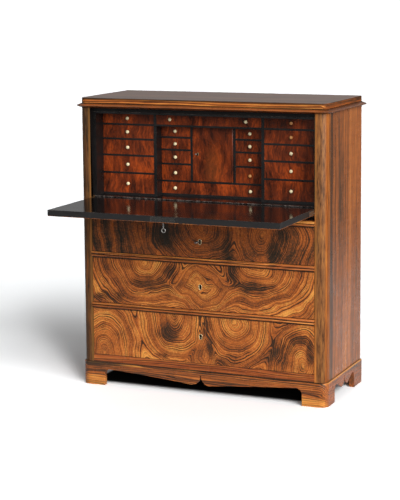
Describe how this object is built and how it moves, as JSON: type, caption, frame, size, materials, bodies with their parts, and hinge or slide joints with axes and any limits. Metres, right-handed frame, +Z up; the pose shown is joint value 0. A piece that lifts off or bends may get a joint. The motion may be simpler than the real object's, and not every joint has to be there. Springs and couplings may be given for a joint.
{
  "type": "escritoire",
  "caption": "Fall-front writing desk: a drop-down leaf opens on a nest of small drawers and a cupboard, over long lockable drawers on a scalloped plinth.",
  "frame": {"origin": "on the floor under the middle of the whole desk with its fall let down", "axes": "+Z up, +X to the desk's right as seen from its front, +Y towards its back"},
  "size_m": [1.084, 0.805, 1.17],
  "materials": {
    "veneer": "polished figured veneer",
    "ebonised": "polished black stain",
    "mahogany": "polished flame figure",
    "pine": "planed, unpolished",
    "brass": "worn",
    "steel": "worn"
  },
  "bodies": {
    "case": {"left_side": "veneer", "right_side": "veneer", "left_pilaster": "veneer", "right_pilaster": "veneer", "top_board": "veneer", "cornice_moulding": "veneer", "head_rails": "ebonised", "back_boards": "pine", "plinth_front": "veneer", "plinth_left": "veneer", "plinth_right": "veneer", "plinth_back": "pine", "corner_blocks": "pine", "drawer_rails": "veneer", "dust_boards": "pine", "bottom_board": "pine", "drawer_guides": "pine", "pivot_fittings": "brass", "desk_floor": "ebonised", "nest_shell": "ebonised", "nest_dividers": "ebonised"},
    "fall": {"fall_board": "ebonised", "fall_pivots": "steel", "fall_lock": "brass"},
    "fall_bolt": {"fall_bolt": "steel"},
    "fall_key": {"fall_key": "steel"},
    "drawer_1": {"drawer_1_front": "veneer", "drawer_1_box": "pine", "drawer_1_lock": "brass"},
    "drawer_1_bolt": {"drawer_1_bolt": "steel"},
    "drawer_1_key": {"drawer_1_key": "steel"},
    "drawer_2": {"drawer_2_front": "veneer", "drawer_2_box": "pine", "drawer_2_lock": "brass"},
    "drawer_3": {"drawer_3_front": "veneer", "drawer_3_box": "pine", "drawer_3_lock": "brass"},
    "cupboard_door": {"cupboard_door": "mahogany", "door_lock": "brass"},
    "door_key": {"door_key": "steel"},
    "left_drawer_1": {"left_drawer_1": "mahogany"},
    "left_drawer_2": {"left_drawer_2": "mahogany"},
    "left_drawer_3": {"left_drawer_3": "mahogany"},
    "left_drawer_4": {"left_drawer_4": "mahogany"},
    "left_drawer_5": {"left_drawer_5": "mahogany"},
    "right_drawer_1": {"right_drawer_1": "mahogany"},
    "right_drawer_2": {"right_drawer_2": "mahogany"},
    "right_drawer_3": {"right_drawer_3": "mahogany"},
    "right_drawer_4": {"right_drawer_4": "mahogany"},
    "right_drawer_5": {"right_drawer_5": "mahogany"},
    "inner_left_drawer_1": {"inner_left_drawer_1": "mahogany"},
    "inner_left_drawer_2": {"inner_left_drawer_2": "mahogany"},
    "inner_left_drawer_3": {"inner_left_drawer_3": "mahogany"},
    "inner_left_drawer_4": {"inner_left_drawer_4": "mahogany"},
    "inner_right_drawer_1": {"inner_right_drawer_1": "mahogany"},
    "inner_right_drawer_2": {"inner_right_drawer_2": "mahogany"},
    "inner_right_drawer_3": {"inner_right_drawer_3": "mahogany"},
    "inner_right_drawer_4": {"inner_right_drawer_4": "mahogany"},
    "centre_top_drawer": {"centre_top_drawer": "mahogany"},
    "centre_bottom_drawer": {"centre_bottom_drawer": "mahogany"}
  },
  "joints": [
    {"name": "fall_hinge", "type": "hinge", "parent": "case", "child": "fall", "pos_m": [0, -0.0265, 0.752], "axis": [1, 0, 0], "range_deg": [-90, 0]},
    {"name": "fall_key_turn", "type": "hinge", "parent": "fall", "child": "fall_key", "pos_m": [0, -0.3725, 0.745], "axis": [0, 0, 1], "range_deg": [0, 180]},
    {"name": "fall_bolt_slide", "type": "slide", "parent": "fall", "child": "fall_bolt", "axis": [0, -1, 0], "range_m": [0, 0.008]},
    {"name": "drawer_1_key_turn", "type": "hinge", "parent": "drawer_1", "child": "drawer_1_key", "pos_m": [0, -0.0335, 0.618], "axis": [0, 1, 0], "range_deg": [0, 180]},
    {"name": "drawer_1_bolt_slide", "type": "slide", "parent": "drawer_1", "child": "drawer_1_bolt", "axis": [0, 0, 1], "range_m": [0, 0.008]},
    {"name": "door_hinge", "type": "hinge", "parent": "case", "child": "cupboard_door", "pos_m": [0.081, 0.1095, 0.8354], "axis": [0, 0, 1], "range_deg": [0, 80]},
    {"name": "door_key_turn", "type": "hinge", "parent": "cupboard_door", "child": "door_key", "pos_m": [-0.066, 0.1035, 0.9454], "axis": [0, 1, 0], "range_deg": [0, 180]},
    {"name": "drawer_1_slide", "type": "slide", "parent": "case", "child": "drawer_1", "axis": [0, -1, 0], "range_m": [0, 0.29]},
    {"name": "drawer_2_slide", "type": "slide", "parent": "case", "child": "drawer_2", "axis": [0, -1, 0], "range_m": [0, 0.29]},
    {"name": "drawer_3_slide", "type": "slide", "parent": "case", "child": "drawer_3", "axis": [0, -1, 0], "range_m": [0, 0.29]},
    {"name": "left_drawer_1_slide", "type": "slide", "parent": "case", "child": "left_drawer_1", "axis": [0, -1, 0], "range_m": [0, 0.21]},
    {"name": "left_drawer_2_slide", "type": "slide", "parent": "case", "child": "left_drawer_2", "axis": [0, -1, 0], "range_m": [0, 0.21]},
    {"name": "left_drawer_3_slide", "type": "slide", "parent": "case", "child": "left_drawer_3", "axis": [0, -1, 0], "range_m": [0, 0.21]},
    {"name": "left_drawer_4_slide", "type": "slide", "parent": "case", "child": "left_drawer_4", "axis": [0, -1, 0], "range_m": [0, 0.21]},
    {"name": "left_drawer_5_slide", "type": "slide", "parent": "case", "child": "left_drawer_5", "axis": [0, -1, 0], "range_m": [0, 0.21]},
    {"name": "right_drawer_1_slide", "type": "slide", "parent": "case", "child": "right_drawer_1", "axis": [0, -1, 0], "range_m": [0, 0.21]},
    {"name": "right_drawer_2_slide", "type": "slide", "parent": "case", "child": "right_drawer_2", "axis": [0, -1, 0], "range_m": [0, 0.21]},
    {"name": "right_drawer_3_slide", "type": "slide", "parent": "case", "child": "right_drawer_3", "axis": [0, -1, 0], "range_m": [0, 0.21]},
    {"name": "right_drawer_4_slide", "type": "slide", "parent": "case", "child": "right_drawer_4", "axis": [0, -1, 0], "range_m": [0, 0.21]},
    {"name": "right_drawer_5_slide", "type": "slide", "parent": "case", "child": "right_drawer_5", "axis": [0, -1, 0], "range_m": [0, 0.21]},
    {"name": "inner_left_drawer_1_slide", "type": "slide", "parent": "case", "child": "inner_left_drawer_1", "axis": [0, -1, 0], "range_m": [0, 0.17]},
    {"name": "inner_left_drawer_2_slide", "type": "slide", "parent": "case", "child": "inner_left_drawer_2", "axis": [0, -1, 0], "range_m": [0, 0.17]},
    {"name": "inner_left_drawer_3_slide", "type": "slide", "parent": "case", "child": "inner_left_drawer_3", "axis": [0, -1, 0], "range_m": [0, 0.17]},
    {"name": "inner_left_drawer_4_slide", "type": "slide", "parent": "case", "child": "inner_left_drawer_4", "axis": [0, -1, 0], "range_m": [0, 0.17]},
    {"name": "inner_right_drawer_1_slide", "type": "slide", "parent": "case", "child": "inner_right_drawer_1", "axis": [0, -1, 0], "range_m": [0, 0.17]},
    {"name": "inner_right_drawer_2_slide", "type": "slide", "parent": "case", "child": "inner_right_drawer_2", "axis": [0, -1, 0], "range_m": [0, 0.17]},
    {"name": "inner_right_drawer_3_slide", "type": "slide", "parent": "case", "child": "inner_right_drawer_3", "axis": [0, -1, 0], "range_m": [0, 0.17]},
    {"name": "inner_right_drawer_4_slide", "type": "slide", "parent": "case", "child": "inner_right_drawer_4", "axis": [0, -1, 0], "range_m": [0, 0.17]},
    {"name": "centre_top_drawer_slide", "type": "slide", "parent": "case", "child": "centre_top_drawer", "axis": [0, -1, 0], "range_m": [0, 0.21]},
    {"name": "centre_bottom_drawer_slide", "type": "slide", "parent": "case", "child": "centre_bottom_drawer", "axis": [0, -1, 0], "range_m": [0, 0.17]}
  ],
  "couplings": [
    {"joint": "fall_key_turn", "follows": "fall_bolt_slide", "rad_per_m": 392.7},
    {"joint": "drawer_1_key_turn", "follows": "drawer_1_bolt_slide", "rad_per_m": 392.7}
  ]
}
